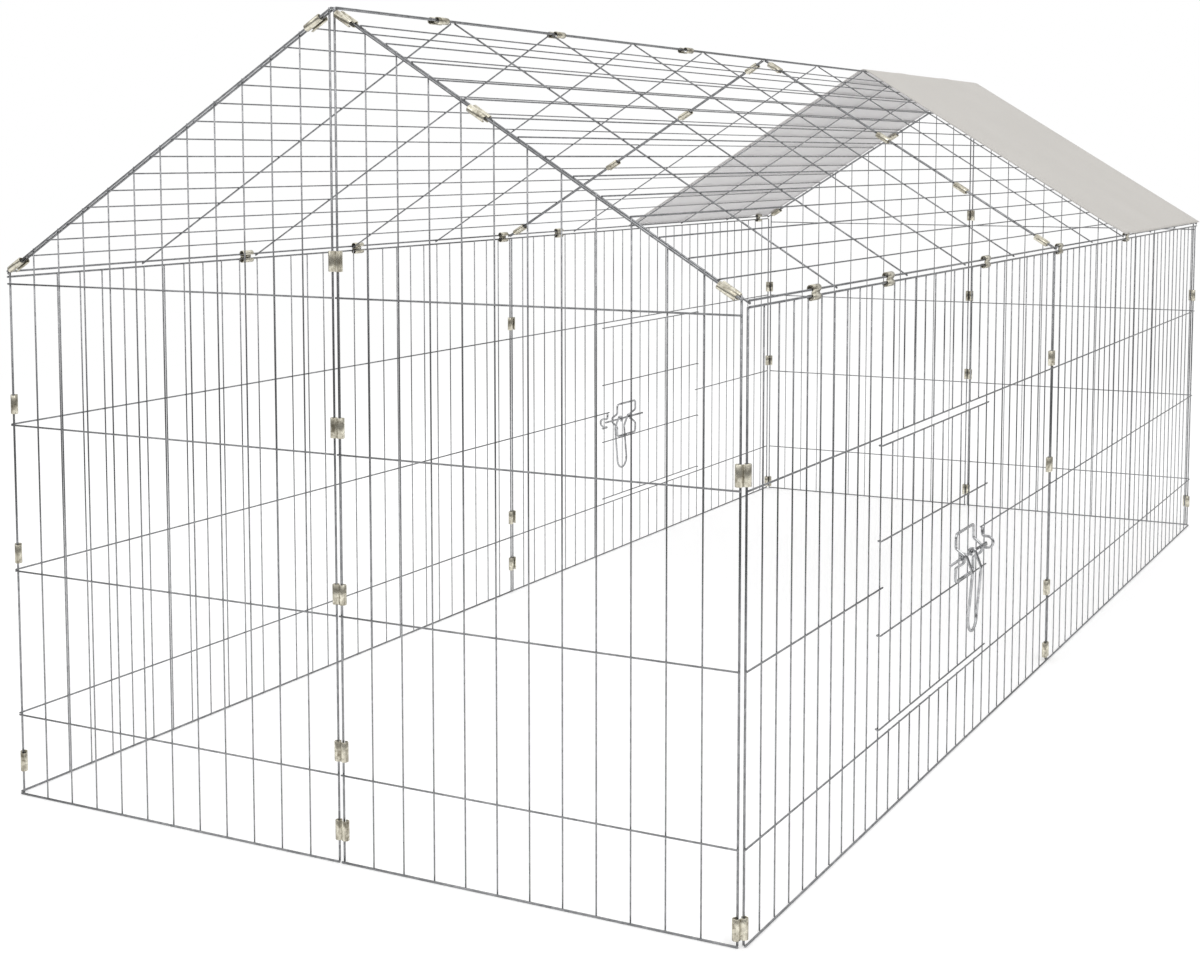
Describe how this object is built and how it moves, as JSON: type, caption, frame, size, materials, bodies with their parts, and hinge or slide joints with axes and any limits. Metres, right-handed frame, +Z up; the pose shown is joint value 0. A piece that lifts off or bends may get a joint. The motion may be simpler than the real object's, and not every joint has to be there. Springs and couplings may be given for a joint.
{
  "type": "outdoor pet enclosure",
  "caption": "Long wire run with a gable roof, clipped together from welded panels, with hinged wire doors, slide latches and a cloth sun shade over one end.",
  "frame": {"origin": "on the ground under the middle of the footprint", "axes": "+X along the ridge from the bare end to the shaded end, +Y across to the left side, +Z up"},
  "size_m": [1.8246, 0.7704, 0.7224],
  "materials": {
    "galvanised_wire": "bright galvanised, satin",
    "zinc_clip": "zinc plated with a faint yellow tint, satin",
    "latch_wire": "bright galvanised, satin",
    "shade_cloth": "plain weave, matt"
  },
  "bodies": {
    "enclosure": {"right_side_front_panel": "galvanised_wire", "right_side_rear_panel": "galvanised_wire", "left_side_rear_panel": "galvanised_wire", "left_side_front_panel": "galvanised_wire", "front_gable_right_panel": "galvanised_wire", "front_gable_left_panel": "galvanised_wire", "rear_gable_right_panel": "galvanised_wire", "rear_gable_left_panel": "galvanised_wire", "right_roof_front_panel": "galvanised_wire", "right_roof_rear_panel": "galvanised_wire", "left_roof_rear_panel": "galvanised_wire", "left_roof_front_panel": "galvanised_wire", "right_side_joint_clips": "zinc_clip", "right_eave_clips": "zinc_clip", "left_side_joint_clips": "zinc_clip", "left_eave_clips": "zinc_clip", "front_gable_clips": "zinc_clip", "rear_gable_clips": "zinc_clip", "front_right_corner_clips": "zinc_clip", "front_left_corner_clips": "zinc_clip", "rear_right_corner_clips": "zinc_clip", "rear_left_corner_clips": "zinc_clip", "front_right_verge_clips": "zinc_clip", "front_left_verge_clips": "zinc_clip", "rear_right_verge_clips": "zinc_clip", "rear_left_verge_clips": "zinc_clip", "ridge_clips": "zinc_clip", "right_roof_joint_clips": "zinc_clip", "left_roof_joint_clips": "zinc_clip", "right_latch_strike": "latch_wire", "left_latch_strike": "latch_wire", "sun_shade": "shade_cloth"},
    "right_door_leaf": {"right_door": "galvanised_wire", "right_latch_bracket": "latch_wire"},
    "right_bolt": {"right_latch_bolt": "latch_wire"},
    "right_pull": {"right_latch_handle": "latch_wire"},
    "left_door_leaf": {"left_door": "galvanised_wire", "left_latch_bracket": "latch_wire"},
    "left_bolt": {"left_latch_bolt": "latch_wire"},
    "left_pull": {"left_latch_handle": "latch_wire"}
  },
  "joints": [
    {"name": "right_door_hinge", "type": "hinge", "parent": "enclosure", "child": "right_door_leaf", "pos_m": [-0.6025, -0.36634, 0.08395], "axis": [0, 0, -1], "range_deg": [0, 150]},
    {"name": "right_bolt_slide", "type": "slide", "parent": "right_door_leaf", "child": "right_bolt", "axis": [1, 0, 0], "range_m": [0, 0.016]},
    {"name": "right_pull_swing", "type": "hinge", "parent": "right_bolt", "child": "right_pull", "pos_m": [-0.3565, -0.37419, 0.19604], "axis": [-1, 0, 0], "range_deg": [0, 100]},
    {"name": "left_door_hinge", "type": "hinge", "parent": "enclosure", "child": "left_door_leaf", "pos_m": [0.6025, 0.36634, 0.08395], "axis": [0, 0, -1], "range_deg": [0, 150]},
    {"name": "left_bolt_slide", "type": "slide", "parent": "left_door_leaf", "child": "left_bolt", "axis": [-1, 0, 0], "range_m": [0, 0.016]},
    {"name": "left_pull_swing", "type": "hinge", "parent": "left_bolt", "child": "left_pull", "pos_m": [0.3565, 0.37419, 0.19604], "axis": [1, 0, 0], "range_deg": [0, 100]}
  ]
}
